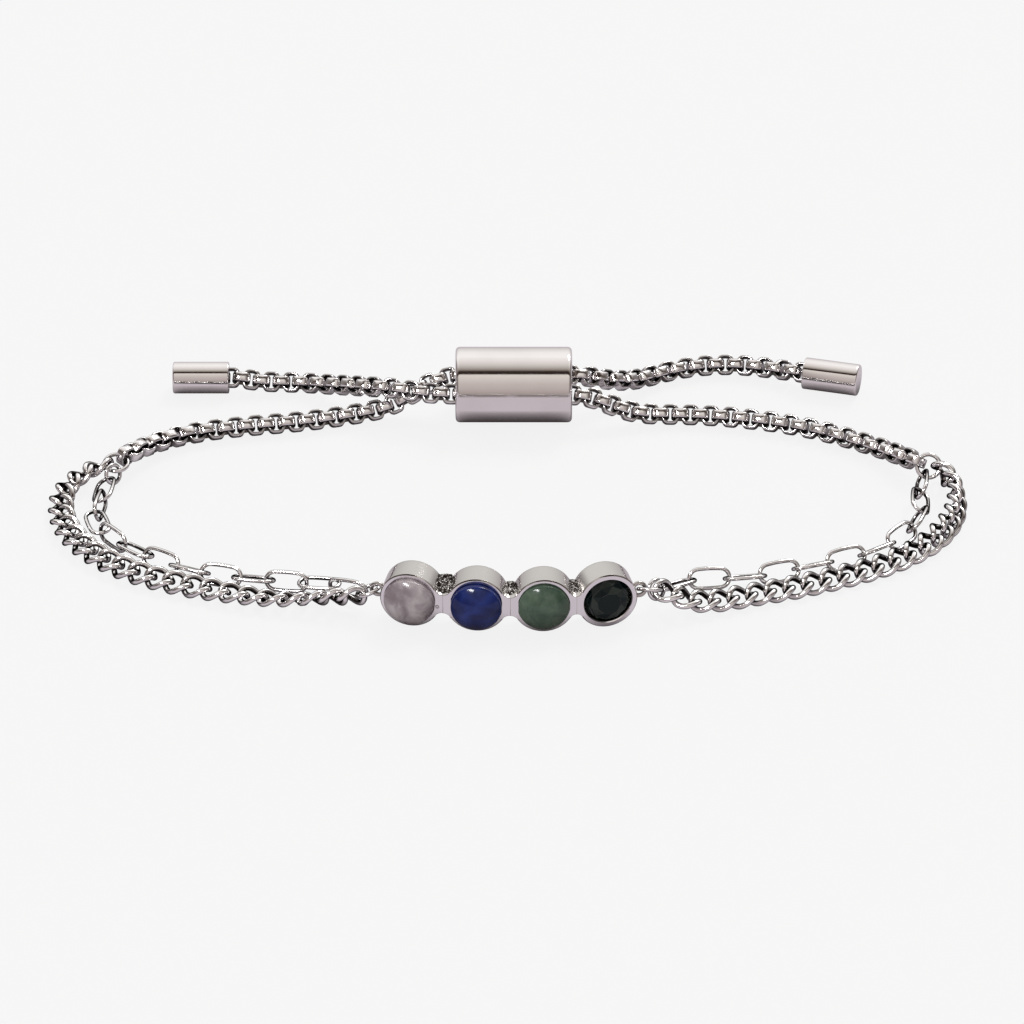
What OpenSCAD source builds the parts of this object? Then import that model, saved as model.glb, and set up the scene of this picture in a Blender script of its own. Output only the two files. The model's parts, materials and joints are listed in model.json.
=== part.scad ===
// Slider bracelet laid flat as a closed loop: a cast bar of four stone cups, a curb chain and a
// long-link chain on each side, and two round box chains that run through a barrel slider.
// Millimetres. X runs along the bracelet, Y from the bar to the slider, Z up from the table.

/* [Loop as it lies] */
// length of the whole loop across both side chains
loop_length = 77; // [73:1:84]
// width of the whole loop from the stone bar to the box chains' tails
loop_width = 43; // [40:1:48]

/* [Setting bar] */
// outside diameter of a stone cup
cup_outside = 4.95; // [4.6:0.05:5.4]
// depth of a cup from its rim to its back
cup_depth = 2.35; // [1.8:0.05:3]
// closed floor behind each stone
cup_floor = 0.6; // [0.4:0.05:0.9]
// distance between neighbouring cups along the bar
cup_spacing = 5.5; // [5.3:0.05:6]
// height of the flat web between two cups
web_height = 1.75; // [1.2:0.05:2.6]
// wire of the soldered end loops
loop_wire = 0.35; // [0.28:0.01:0.42]
// outside diameter of the soldered end loops
loop_outside = 1.39; // [1.3:0.01:1.6]

/* [Stones] */
// diameter of the three cabochons
cabochon_width = 4.1; // [3.7:0.05:4.3]
// height of a cabochon's dome
dome_height = 0.95; // [0.5:0.05:1.4]
// diameter of the faceted stone
cut_stone_width = 3.9; // [3.5:0.05:4.2]
// height of the crown of the faceted stone
crown_height = 0.5; // [0.3:0.05:0.8]
// facets round the faceted stone
crown_facets = 10; // [8:1:12]
// gap between a stone and its seat
seat_gap = 0.11; // [0.1:0.01:0.16]

/* [Jump rings] */
// outside diameter of the jump rings
ring_outside = 2.3; // [2.2:0.05:2.7]
// wire of the jump rings
ring_wire = 0.32; // [0.28:0.01:0.38]

/* [Curb chain] */
// wire of a curb link
curb_wire = 0.48; // [0.42:0.01:0.52]
// outside length of a curb link
curb_length = 2.8; // [2.7:0.05:3]
// outside width of a curb link before its twist
curb_width = 2.32; // [2.2:0.04:2.48]
// twist of a curb link from its middle to each end
curb_twist = 52; // [46:1:56]
// roll of the curb chains, their inner edge raised
curb_roll = 18; // [0:1:25]
// distance between neighbouring curb links
curb_pitch = 1.63; // [1.6:0.01:1.75]

/* [Long-link chain] */
// outside length of a long link
long_length = 3.75; // [3.4:0.05:4.2]
// outside width of a long link
long_width = 1.9; // [1.7:0.05:2.2]
// distance between neighbouring long links
long_pitch = 2.85; // [2.6:0.05:3.4]
// wire of a long link and of its small ring
long_wire = 0.31; // [0.28:0.01:0.38]
// outside diameter of the small round ring in each long-link chain
small_ring = 1.9; // [1.8:0.05:2.1]

/* [Box chain] */
// length of a box link
box_length = 1.55; // [1.5:0.01:1.62]
// width across a box link
box_width = 1.78; // [1.7:0.01:1.86]
// thickness of the strip a box link is bent from
box_strip = 0.25; // [0.22:0.01:0.29]
// width of the strip a box link is bent from
box_band = 0.72; // [0.6:0.01:0.8]
// distance between neighbouring box links
box_pitch = 0.87; // [0.85:0.01:0.9]

/* [Slider and caps] */
// diameter of the slider barrel
slider_width = 6.5; // [6.2:0.1:8]
// length of the slider barrel
slider_length = 10; // [8:0.5:13]
// diameter of the slider's two bores
slider_bore = 2.1; // [2:0.05:2.2]
// distance between the two bores
bore_spacing = 2.4; // [2.3:0.05:2.8]
// lean of the two bores out of level
bore_lean = 13.5; // [0:0.5:20]
// diameter of an end cap
cap_width = 2.75; // [2.6:0.05:3.2]
// length of an end cap
cap_length = 4.85; // [4:0.05:6]
// diameter of the blind bore in an end cap
cap_bore = 2.1; // [2:0.05:2.2]
// depth of the blind bore in an end cap
cap_hole = 2.4; // [1.8:0.1:3]
// bevel round the ends of the slider and the caps
end_bevel = 0.25; // [0.1:0.05:0.4]
// gap kept between pieces that hang on each other
hang_gap = 0.1; // [0.08:0.01:0.14]

/* [Hidden] */

steel = [0.74, 0.73, 0.74];

// a place chosen for a loop of 77 by 43, moved out or in with the loop: sideways more and more
// beyond the bar and the slider, and to the front or back as it lies in front or behind
function grown(p) = let (
    side = (loop_length - 77) / 2 * min(1, max(0, (abs(p[0]) - 12) / 22)),
    way = (loop_width - 43) / 2 * min(1, max(-1, (p[1] + 2.5) / 12)))
    concat([p[0] + sign(p[0]) * side, p[1] + way], len(p) > 2 ? [p[2]] : []);
function all_grown(path) = [for (p = path) grown(p)];

cup_r = cup_outside / 2;
// cups from left to right: turn of the cup, way to it from the cup before, share of the
// spacing, and how far the stone's girdle stands out of the rim as a share of the dome
cups = [[-12, 0, 0, 0.42], [-4, -8.2, 1, 0.47], [2.5, -1, 1, 0.3], [14, 8.2, 0.96, 0]];
bar_middle = grown([0.15, -20.67]);
function cup_run(i) = i == 0 ? [0, 0]
    : cup_run(i - 1) + cup_spacing * cups[i][2] * [cos(cups[i][1]), sin(cups[i][1])];
function cup_place(i) = bar_middle + cup_run(i) - (cup_run(1) + cup_run(2)) / 2;
function outward(a) = [sin(a), -cos(a)];
function along(a) = [cos(a), sin(a)];

// soldered loops stand on the outer walls of the end cups, behind the middle of their depth
loop_r = (loop_outside - loop_wire) / 2;
loop_reach = cup_r + loop_r - 0.08;
loop_left = concat(cup_place(0) - outward(cups[0][0]) * cup_depth * 0.5
    - along(cups[0][0]) * loop_reach, [cup_r]);
loop_right = concat(cup_place(3) - outward(cups[3][0]) * cup_depth * 0.5
    + along(cups[3][0]) * loop_reach, [cup_r]);

ring_r = (ring_outside - ring_wire) / 2;
function unit(v) = v / norm(v);
// a ring's frame: direction it points, drop of that end, bank round that direction
function ring_u(a) = [cos(a[1]) * cos(a[0]), cos(a[1]) * sin(a[0]), -sin(a[1])];
function ring_v(a) = let (side = [-sin(a[0]), cos(a[0]), 0], up = cross(ring_u(a), side))
    cos(a[2]) * side + sin(a[2]) * up;
function on_ring(c, a, turn) = c + ring_r * (cos(turn) * ring_u(a) + sin(turn) * ring_v(a));
function wire_way(a, turn) = cos(turn) * ring_v(a) - sin(turn) * ring_u(a);

bar_lie_left = [151, 25, 0];
bar_lie_right = [17, 14, -30];
side_lie_left = [-90, 15, 0];
side_lie_right = [0, 0, 58];
bar_at_left = loop_left + ring_r * ring_u(bar_lie_left);
bar_at_right = loop_right + ring_r * ring_u(bar_lie_right);
side_at_left = grown([-33.2, 3, 1.6]);
side_at_right = grown([35.55, 2.6, 1.52]);

// routes of the chains between their rings, slider and caps, as points chosen along each one
curb_path_left = all_grown([[-15.6, -17.15, 1], [-18.2, -17.2, 0.82], [-21, -16.6, 0.78],
    [-23.8, -15.75, 0.78], [-26.6, -14.85, 0.78], [-29.3, -13.75, 0.78], [-31.8, -12.35, 0.78],
    [-34.05, -10.45, 0.8], [-35.95, -8.15, 0.82], [-37.15, -5.6, 0.82], [-37.62, -3, 0.84],
    [-37.55, -0.6, 0.98], [-36.6, 1.1, 1.2]]);
curb_path_right = all_grown([[14.9, -17.85, 1.1], [17.3, -17.4, 0.86], [20, -16.3, 0.78],
    [22.8, -15.5, 0.78], [25.6, -14.4, 0.78], [28.4, -13.2, 0.78], [31.2, -11.75, 0.78],
    [33.65, -10.05, 0.88], [35.75, -7.85, 1], [37.1, -5.2, 1.04], [37.68, -2.7, 0.96],
    [37.75, -0.3, 1.1], [37.3, 1.2, 1.25]]);
long_path_left = all_grown([[-14.2, -15.4, 1.3], [-16.6, -15, 1.05], [-19.5, -14.5, 1], [-22.7, -14, 1],
    [-25.6, -13.2, 1], [-28.2, -11.9, 1], [-30.6, -10.2, 1], [-32.8, -8.1, 1],
    [-34.4, -5.9, 1], [-34.6, -3.9, 1], [-33.9, -1.7, 1]]);
long_path_right = all_grown([[14.8, -14.85, 1.4], [17.2, -14.4, 1.15], [20, -14.1, 1], [22.9, -13, 1],
    [25.5, -12.1, 1], [28.1, -11.1, 1], [30.8, -9.7, 1], [32.7, -7.8, 1], [34.1, -5.7, 1],
    [34.6, -3.5, 1], [34.6, -1.2, 1]]);
box_path_left = all_grown([[-30.9, 6.2, 1.3], [-28.5, 8.3, 1], [-25.3, 9.6, 0.9], [-21.8, 10.3, 0.9],
    [-18.2, 10.8, 0.9], [-15, 11.6, 0.9], [-12.4, 12.4, 0.9], [-10.4, 12.9, 1.1],
    [-8.6, 13.5, 1.9], [-6.8, 14.1, 2.95]]);
box_tail_right = all_grown([[6.9, 14.45, 3.3], [8.4, 15.1, 2.6], [10.1, 16.5, 1.6], [11.9, 18.1, 1.02],
    [14.4, 19.7, 0.9], [17.4, 20.5, 0.9], [20.4, 20.5, 0.9], [23, 19.5, 1.1]]);
box_path_right = all_grown([[32.5, 5.6, 1.15], [30.3, 7.4, 0.92], [27.5, 9.1, 0.9], [24.2, 10.5, 0.9],
    [20.6, 11.4, 0.9], [17, 12, 0.9], [13.4, 12.1, 0.9], [10.9, 11.8, 1.15], [8.9, 11.75, 2],
    [7, 11.9, 2.8]]);
box_tail_left = all_grown([[-6.6, 11.9, 3.1], [-8.6, 12.1, 3.3], [-10.4, 12.6, 3.3], [-12, 13.4, 2.9],
    [-13.7, 14.8, 2.2], [-15.5, 16.2, 1.45], [-17.4, 17.2, 1.02], [-19.3, 17.5, 0.92],
    [-21.2, 17.4, 1], [-22.9, 17.5, 1.25]]);

slider_at = grown([0.45, 13.18, slider_width / 2]);
bore_step = bore_spacing / 2 * [0, cos(bore_lean), sin(bore_lean)];
bore_back = slider_at + bore_step;
bore_front = slider_at - bore_step;
cap_mouth_left = grown([-24.25, 17.5, cap_width / 2]);
cap_mouth_right = grown([25.7, 18.3, cap_width / 2]);
cap_way_left = 180;
cap_way_right = -15;

// smooth curve near the chosen points, from the first to the last one
function blend(a, b, c, d, t) = (a * pow(1 - t, 3) + b * (3 * pow(t, 3) - 6 * t * t + 4)
    + c * (3 * t + 3 * t * t - 3 * pow(t, 3) + 1) + d * pow(t, 3)) / 6;
function curve(p) = let (n = len(p), q = concat([2 * p[0] - p[1]], p, [2 * p[n - 1] - p[n - 2]]))
    concat([for (i = [0 : n - 2], k = [0 : 7]) blend(q[i], q[i + 1], q[i + 2], q[i + 3], k / 8)],
        [p[n - 1]]);
function runs(c) = [for (i = 0, s = 0; i < len(c);
    s = s + (i + 1 < len(c) ? norm(c[i + 1] - c[i]) : 0), i = i + 1) s];
// a route keeps the three coordinates against the distance run, for looking up
function route(p) = let (c = curve(p), s = runs(c))
    [for (k = [0 : 2]) [for (i = [0 : len(c) - 1]) [s[i], c[i][k]]]];
function total(r) = r[0][len(r[0]) - 1][0];
function point(r, s) = let (e = max(0, s - total(r)), b = max(0, -s), m = total(r))
    [for (k = [0 : 2]) lookup(s, r[k])]
    + (e > 0 ? e * unit([for (k = [0 : 2]) lookup(m, r[k]) - lookup(m - 0.2, r[k])]) : [0, 0, 0])
    - (b > 0 ? b * unit([for (k = [0 : 2]) lookup(0.2, r[k]) - lookup(0, r[k])]) : [0, 0, 0]);
function heading(r, s, reach) = unit(point(r, s + reach) - point(r, s - reach));
function level(t) = unit(cross([0, 0, 1], t));
// turn about the heading that lays a link's width along a given direction
function lay(t, n) = let (s = level(t), u = cross(t, s)) atan2(n * u, n * s);
function nearest(a, b, part) = a - part * round((a - b) / part);

module on_route(r, s, reach, turn) {
    t = heading(r, s, reach);
    w = cos(turn) * level(t) + sin(turn) * cross(t, level(t));
    h = cross(t, w);
    p = point(r, s);
    multmatrix([[t[0], w[0], h[0], p[0]], [t[1], w[1], h[1], p[1]], [t[2], w[2], h[2], p[2]]])
        children();
}

module ring(c, u, v, wire, r) {
    n = cross(u, v);
    multmatrix([[u[0], v[0], n[0], c[0]], [u[1], v[1], n[1], c[1]], [u[2], v[2], n[2], c[2]]])
        rotate_extrude($fn = 48) translate([r, 0]) circle(d = wire, $fn = 20);
}
module jump_ring(c, a) {
    color(steel) ring(c, ring_u(a), ring_v(a), ring_wire, ring_r);
}

// setting
module in_cup(i) {
    translate(concat(cup_place(i), [cup_r])) rotate([0, 0, cups[i][0]]) rotate([90, 0, 0])
        children();
}
function stone_r(i) = (i == 3 ? cut_stone_width : cabochon_width) / 2;

// a web fills the waist between two cups up to two hollow curves
module web(i) {
    a = cup_place(i);
    b = cup_place(i + 1);
    d = b - a;
    half = norm(d) / 2;
    hollow = 1.03 * (half * half + web_height * web_height / 4 - cup_r * cup_r)
        / (cup_outside - web_height);
    rise = web_height / 2 + hollow;
    meet = rise * cup_r / (cup_r + hollow);
    translate(concat((a + b) / 2, [cup_r])) rotate([0, 0, atan2(d[1], d[0])])
        rotate([90, 0, 0]) translate([0, 0, -cup_depth + 0.05])
            linear_extrude(cup_depth - 0.1) difference() {
                square([norm(d) - cup_r * 0.7, 2 * meet], center = true);
                for (s = [-1, 1]) translate([0, s * rise]) circle(r = hollow, $fn = 48);
            }
}

module end_loop(c, a, turn) {
    translate(c) rotate([0, 0, a]) rotate([90 + turn, 0, 0])
        rotate_extrude($fn = 40) translate([loop_r, 0]) circle(d = loop_wire, $fn = 20);
}

module setting() {
    color(steel) difference() {
        union() {
            for (i = [0 : 3]) in_cup(i) translate([0, 0, -cup_depth])
                cylinder(d = cup_outside, h = cup_depth, $fn = 96);
            for (i = [0 : 2]) web(i);
            end_loop(loop_left, cups[0][0], 0);
            end_loop(loop_right, cups[3][0], bar_lie_right[2] / 2);
        }
        for (i = [0 : 3]) in_cup(i) translate([0, 0, cup_floor - cup_depth])
            cylinder(r = stone_r(i) + seat_gap, h = cup_depth, $fn = 96);
    }
}

// a cabochon stands on the seat with a straight girdle and a low dome
module cabochon(i, tint) {
    r = stone_r(i);
    base = cup_floor - cup_depth + seat_gap;
    girdle = dome_height * cups[i][3];
    ball = (r * r + dome_height * dome_height) / (2 * dome_height);
    color(tint) in_cup(i) intersection() {
        translate([0, 0, base]) cylinder(r = r, h = girdle + dome_height - base + 1, $fn = 96);
        translate([0, 0, girdle + dome_height - ball]) sphere(r = ball, $fn = 120);
    }
}

// the cut stone has a table, a ring of crown facets, a girdle and a pavilion
module cut_stone(tint) {
    r = stone_r(3);
    step = 360 / crown_facets;
    deep = cup_depth - cup_floor - seat_gap;
    rows = [[0.36 * r, -deep, 0], [r, -0.32 * deep, 0.5], [r, -0.2 * deep, 0.5],
            [0.86 * r, 0.45 * crown_height, 0], [0.6 * r, crown_height, 0.5]];
    pts = [for (w = rows, k = [0 : crown_facets - 1])
        [w[0] * cos(step * (k + w[2]) + 8), w[0] * sin(step * (k + w[2]) + 8), w[1] - 0.05]];
    n = crown_facets;
    sides = [for (j = [0 : len(rows) - 2], k = [0 : n - 1]) let (m = (k + 1) % n,
        a = j * n + k, b = j * n + m, c = (j + 1) * n + k, d = (j + 1) * n + m,
        lead = rows[j + 1][2] - rows[j][2]) each
        (lead >= 0 ? [[a, c, b], [b, c, d]] : [[a, c, d], [a, d, b]])];
    color(tint) in_cup(3) polyhedron(points = pts, faces = concat(
        [[for (k = [0 : n - 1]) k]], sides,
        [[for (k = [0 : n - 1]) (len(rows) - 1) * n + n - 1 - k]]));
}

// chains
curb_a = (curb_length - curb_wire) / 2;
curb_b = (curb_width - curb_wire) / 2;
function curb_mid(q) = let (f = -curb_twist * cos(q))
    [curb_a * cos(q), curb_b * sin(q) * cos(f), curb_b * sin(q) * sin(f)];
module curb_link() {
    n = 16;
    pts = [for (i = [0 : n - 1]) let (q = 360 * i / n, f = -curb_twist * cos(q), c = curb_mid(q),
        t = unit(curb_mid(q + 2) - curb_mid(q - 2)),
        o = unit(cross(t, [0, -sin(f), cos(f)])), h = cross(o, t))
        for (j = [0 : 5]) c + curb_wire / 2 * (cos(60 * j) * o + sin(60 * j) * h)];
    polyhedron(points = pts, faces = [for (i = [0 : n - 1], j = [0 : 5])
        let (k = (i + 1) % n, m = (j + 1) % 6, a = 6 * i + j, b = 6 * i + m, c = 6 * k + j,
            d = 6 * k + m) each [[a, c, b], [b, c, d]]]);
}

module long_link() {
    r = (long_width - long_wire) / 2;
    h = long_length - long_width;
    for (a = [0, 180]) rotate([0, 0, a]) {
        translate([h / 2, 0, 0]) rotate([0, 0, -90]) rotate_extrude(angle = 180, $fn = 40)
            translate([r, 0]) circle(d = long_wire, $fn = 16);
        translate([0, r, 0]) rotate([0, 90, 0])
            cylinder(d = long_wire, h = h, center = true, $fn = 16);
    }
}

module box_link() {
    end_r = 1.2;
    intersection() {
        linear_extrude(box_band, center = true) difference() {
            intersection() {
                square([box_length, box_width], center = true);
                translate([end_r - box_length / 2, 0]) circle(r = end_r, $fn = 64);
                translate([box_length / 2 - end_r, 0]) circle(r = end_r, $fn = 64);
            }
            intersection() {
                square([box_length - 2 * box_strip, box_width - 2 * box_strip], center = true);
                circle(d = 1.32, $fn = 48);
            }
        }
        rotate([0, 90, 0]) cylinder(d = box_width, h = box_length * 2, center = true, $fn = 48);
    }
}

// first link from the wire it hangs on, measured between centres
curb_first = curb_a - curb_wire / 2 - ring_wire / 2 - 2 * hang_gap;
long_first = long_length / 2 - long_wire - ring_wire / 2 - hang_gap;
box_first = box_length / 2 - box_strip - ring_wire / 2 - hang_gap - 0.07;

// curb chain from a bar ring to a side ring, lying with its inner edge a little raised and
// rolled over at both ends to hang on their wires
module curb_chain(r, wire_from, wire_to, roll) {
    span = total(r) - 2 * curb_first;
    count = round(span / curb_pitch);
    step = span / count;
    t = heading(r, 0, 0.3);
    e = heading(r, total(r), 0.3);
    first = nearest(lay(t, cross(wire_from, t)) - curb_twist, roll, 180);
    last = nearest(lay(e, cross(wire_to, e)) + curb_twist, roll, 180);
    for (i = [0 : count]) {
        turn = roll + (first - roll) * max(0, 1 - i / 8)
            + (last - roll) * max(0, 1 - (count - i) / 8);
        on_route(r, curb_first + i * step, step / 2, turn) curb_link();
    }
}

// long-link chain, each link a quarter turn from the one before, lying at a set slant between
// its ends, which turn to suit the wires they hang on
module long_chain(r, at_from, at_to, wire_from, wire_to, slant) {
    span = total(r) - at_from - at_to;
    count = round(span / long_pitch);
    step = span / count;
    t = heading(r, at_from, 1);
    e = heading(r, total(r) - at_to, 1);
    first = nearest(lay(t, cross(wire_from, t)), slant, 180);
    middle = slant + 90 * round((first - slant) / 90);
    last = nearest(lay(e, cross(wire_to, e)) - 90 * count, middle, 180);
    for (i = [0 : count]) {
        turn = middle + (first - middle) * max(0, 1 - i / 4)
            + (last - middle) * max(0, 1 - (count - i) / 5);
        on_route(r, at_from + i * step, step / 2, turn + 90 * i) long_link();
    }
}

// box chain, each link a quarter turn from the one before
module box_chain(r, wire_from, into_cap) {
    span = total(r) - box_first - into_cap;
    count = round(span / box_pitch);
    step = span / count;
    t = heading(r, 0, 0.3);
    first = nearest(lay(t, cross(wire_from, t)), 45, 90);
    for (i = [0 : count])
        on_route(r, box_first + i * step, step / 2, 45 + (first - 45) * max(0, 1 - i / 12)
            + 90 * (i + round((lay(t, cross(wire_from, t)) - first) / 90))) box_link();
}

// slant at which each long-link chain lies, and turn round each ring at which each chain hangs
slant_left = 32;
slant_right = 58;
hang_curb_left = 48;
hang_long_left = -28;
hang_curb_right = -36;
hang_small_right = 50;
hang_curb_side_left = -76;
hang_small_left = -6;
hang_box_left = 142;
hang_curb_side_right = -20;
hang_long_right = -125;
hang_box_right = 156;
from_curb_left = on_ring(bar_at_left, bar_lie_left, hang_curb_left);
from_long_left = on_ring(bar_at_left, bar_lie_left, hang_long_left);
from_curb_right = on_ring(bar_at_right, bar_lie_right, hang_curb_right);
to_curb_left = on_ring(side_at_left, side_lie_left, hang_curb_side_left);
to_curb_right = on_ring(side_at_right, side_lie_right, hang_curb_side_right);
to_long_right = on_ring(side_at_right, side_lie_right, hang_long_right);
from_box_left = on_ring(side_at_left, side_lie_left, hang_box_left);
from_box_right = on_ring(side_at_right, side_lie_right, hang_box_right);

// a small ring faces part way to the front and hangs on the wire of its larger ring
small_r = (small_ring - long_wire) / 2;
small_to_ring = small_r - long_wire / 2 - ring_wire / 2 - 2 * hang_gap;
small_to_long = small_r + long_length / 2 - 1.5 * long_wire - hang_gap;
function faced(w) = unit(0.8 * (w[0] < 0 ? -w : w) + [0, -0.6, 0.35]);
function across(d, n) = unit(d - (d * n) * n);
small_n_left = faced(wire_way(side_lie_left, hang_small_left));
small_u_left = across([-0.4, -0.75, -0.5], small_n_left);
small_at_left = on_ring(side_at_left, side_lie_left, hang_small_left)
    + small_to_ring * small_u_left;
small_n_right = faced(wire_way(bar_lie_right, hang_small_right));
small_u_right = across([1, 0.35, -0.1], small_n_right);
small_at_right = on_ring(bar_at_right, bar_lie_right, hang_small_right)
    + small_to_ring * small_u_right;

function lead(p, d, s) = p + s * unit(d);
route_curb_left = route(concat([from_curb_left, lead(from_curb_left, [-1, 0.15, -0.2], 1.2)],
    curb_path_left, [lead(to_curb_left, [-0.9, -0.3, -0.1], 1), to_curb_left]));
route_curb_right = route(concat([from_curb_right, lead(from_curb_right, [1, -0.05, -0.3], 1.2)],
    curb_path_right, [lead(to_curb_right, [0.5, -0.85, 0], 1), to_curb_right]));
route_long_left = route(concat([from_long_left, lead(from_long_left, [-1, 0.2, -0.2], 1.2)],
    long_path_left, [lead(small_at_left, across([-0.35, -0.9, -0.25], small_n_left), 1.6), small_at_left]));
route_long_right = route(concat([small_at_right,
    lead(small_at_right, across([1, 0.2, -0.1], small_n_right), 1.4)],
    long_path_right, [lead(to_long_right, [-0.05, -1, -0.05], 1.6), to_long_right]));
function bore_line(c, way) = [for (s = [-0.48, -0.25, 0, 0.25, 0.48])
    c + [way * s * slider_length, 0, 0]];
function cap_line(m, a) = [for (s = [-0.8, 0.8, cap_hole - 0.1]) m + s * [cos(a), sin(a), 0]];
route_box_left = route(concat([from_box_left, lead(from_box_left, [0.75, 0.85, -0.1], 1.3)],
    box_path_left, bore_line(bore_back, 1), box_tail_right,
    cap_line(cap_mouth_right, cap_way_right)));
route_box_right = route(concat([from_box_right, lead(from_box_right, [-0.72, 0.68, -0.13], 1.3)],
    box_path_right, bore_line(bore_front, -1), box_tail_left,
    cap_line(cap_mouth_left, cap_way_left)));

module curb_chain_left() {
    color(steel) curb_chain(route_curb_left, wire_way(bar_lie_left, hang_curb_left),
        wire_way(side_lie_left, hang_curb_side_left), -curb_roll);
}
module curb_chain_right() {
    color(steel) curb_chain(route_curb_right, wire_way(bar_lie_right, hang_curb_right),
        wire_way(side_lie_right, hang_curb_side_right), curb_roll);
}
// the wire of a small ring where a long link hangs runs across both its axis and the link
module paperclip_chain_left() {
    t = heading(route_long_left, total(route_long_left), 0.5);
    color(steel) {
        long_chain(route_long_left, long_first, small_to_long,
            wire_way(bar_lie_left, hang_long_left), cross(small_n_left, t), slant_left);
        ring(small_at_left, small_u_left, cross(small_n_left, small_u_left), long_wire, small_r);
    }
}
module paperclip_chain_right() {
    t = heading(route_long_right, 0, 0.5);
    color(steel) {
        long_chain(route_long_right, small_to_long, long_first, cross(small_n_right, t),
            wire_way(side_lie_right, hang_long_right), slant_right);
        ring(small_at_right, small_u_right, cross(small_n_right, small_u_right), long_wire,
            small_r);
    }
}
module box_chain_left() {
    color(steel) box_chain(route_box_left, wire_way(side_lie_left, hang_box_left),
        box_length / 2);
}
module box_chain_right() {
    color(steel) box_chain(route_box_right, wire_way(side_lie_right, hang_box_right),
        box_length / 2);
}

// slider and caps
module barrel(d, h) {
    cylinder(d1 = d - 2 * end_bevel, d2 = d, h = end_bevel, $fn = 96);
    translate([0, 0, end_bevel]) cylinder(d = d, h = h - 2 * end_bevel, $fn = 96);
    translate([0, 0, h - end_bevel]) cylinder(d1 = d, d2 = d - 2 * end_bevel, h = end_bevel,
        $fn = 96);
}
module slider() {
    color(steel) difference() {
        translate(slider_at - [slider_length / 2, 0, 0]) rotate([0, 90, 0])
            barrel(slider_width, slider_length);
        for (b = [bore_back, bore_front]) translate(b) rotate([0, 90, 0])
            cylinder(d = slider_bore, h = slider_length + 2, center = true, $fn = 48);
    }
}
module end_cap(m, a) {
    color(steel) translate(m) rotate([0, 0, a]) rotate([0, 90, 0]) difference() {
        barrel(cap_width, cap_length);
        translate([0, 0, -1]) cylinder(d = cap_bore, h = 1 + cap_hole, $fn = 48);
    }
}

setting();
cabochon(0, [0.62, 0.59, 0.62]);  // stone_grey
cabochon(1, [0.12, 0.17, 0.42]);  // stone_blue
cabochon(2, [0.27, 0.38, 0.29]);  // stone_green
cut_stone([0.05, 0.1, 0.1]);  // stone_dark
jump_ring(bar_at_left, bar_lie_left);  // bar_ring_left
jump_ring(bar_at_right, bar_lie_right);  // bar_ring_right
jump_ring(side_at_left, side_lie_left);  // side_ring_left
jump_ring(side_at_right, side_lie_right);  // side_ring_right
curb_chain_left();
curb_chain_right();
paperclip_chain_left();
paperclip_chain_right();
box_chain_left();
box_chain_right();
slider();
end_cap(cap_mouth_left, cap_way_left);  // end_cap_left
end_cap(cap_mouth_right, cap_way_right);  // end_cap_right
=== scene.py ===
import json
import math

import bmesh
import bpy
import numpy as np
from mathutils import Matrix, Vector, noise

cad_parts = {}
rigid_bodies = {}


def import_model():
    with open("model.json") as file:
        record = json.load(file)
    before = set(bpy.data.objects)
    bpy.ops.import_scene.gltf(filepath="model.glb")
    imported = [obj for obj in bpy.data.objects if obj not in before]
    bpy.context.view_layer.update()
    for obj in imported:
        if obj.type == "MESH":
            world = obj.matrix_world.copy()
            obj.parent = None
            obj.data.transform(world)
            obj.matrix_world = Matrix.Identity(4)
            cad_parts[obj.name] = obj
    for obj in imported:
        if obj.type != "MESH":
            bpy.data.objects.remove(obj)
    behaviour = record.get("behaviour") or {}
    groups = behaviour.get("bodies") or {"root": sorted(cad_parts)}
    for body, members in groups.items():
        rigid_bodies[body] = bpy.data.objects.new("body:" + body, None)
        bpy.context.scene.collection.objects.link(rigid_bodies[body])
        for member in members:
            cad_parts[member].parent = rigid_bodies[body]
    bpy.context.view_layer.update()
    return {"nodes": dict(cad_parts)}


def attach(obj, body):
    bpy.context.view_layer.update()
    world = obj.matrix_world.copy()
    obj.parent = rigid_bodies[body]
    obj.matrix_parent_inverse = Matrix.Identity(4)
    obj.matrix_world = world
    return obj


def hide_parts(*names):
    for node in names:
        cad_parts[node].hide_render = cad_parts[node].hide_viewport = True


mm = 0.001
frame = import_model()
print("frame loaded:", len(frame["nodes"]), "pieces")

# camera: the bracelet lies on the table and is seen from the stone bar's side
cameraView = {
    "target": (0.3, -2.3, 0.0),
    "elevation": 32.0,
    "distance": 500.0,
    "sensor": 36.0,
    "lens": 209.1,
}


def makeCamera(v):
    data = bpy.data.cameras.new("camera")
    data.sensor_width = v["sensor"]
    data.lens = v["lens"]
    data.clip_start = 0.01
    data.clip_end = 20
    cam = bpy.data.objects.new("camera", data)
    bpy.context.collection.objects.link(cam)
    e = math.radians(v["elevation"])
    back = Vector((0, -math.cos(e), math.sin(e)))
    cam.location = (Vector(v["target"]) + back * v["distance"]) * mm
    cam.rotation_euler = (math.pi / 2 - e, 0, 0)
    bpy.context.scene.camera = cam


makeCamera(cameraView)

# small helpers for node trees


def newGroup(name, inputs, outputs):
    tree = bpy.data.node_groups.new(name, "ShaderNodeTree")
    for label, kind, value in inputs:
        s = tree.interface.new_socket(label, in_out="INPUT", socket_type="NodeSocket" + kind)
        if value is not None:
            s.default_value = value
    for label, kind in outputs:
        tree.interface.new_socket(label, in_out="OUTPUT", socket_type="NodeSocket" + kind)
    return tree, tree.nodes.new("NodeGroupInput"), tree.nodes.new("NodeGroupOutput")


def feed(tree, socket, value):
    if isinstance(value, bpy.types.NodeSocket):
        tree.links.new(value, socket)
    else:
        socket.default_value = value


def put(tree, kind, links=None, **values):
    node = tree.nodes.new("ShaderNode" + kind)
    for key, value in values.items():
        setattr(node, key, value)
    for key, value in (links or {}).items():
        feed(tree, node.inputs[key], value)
    return node


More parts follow.
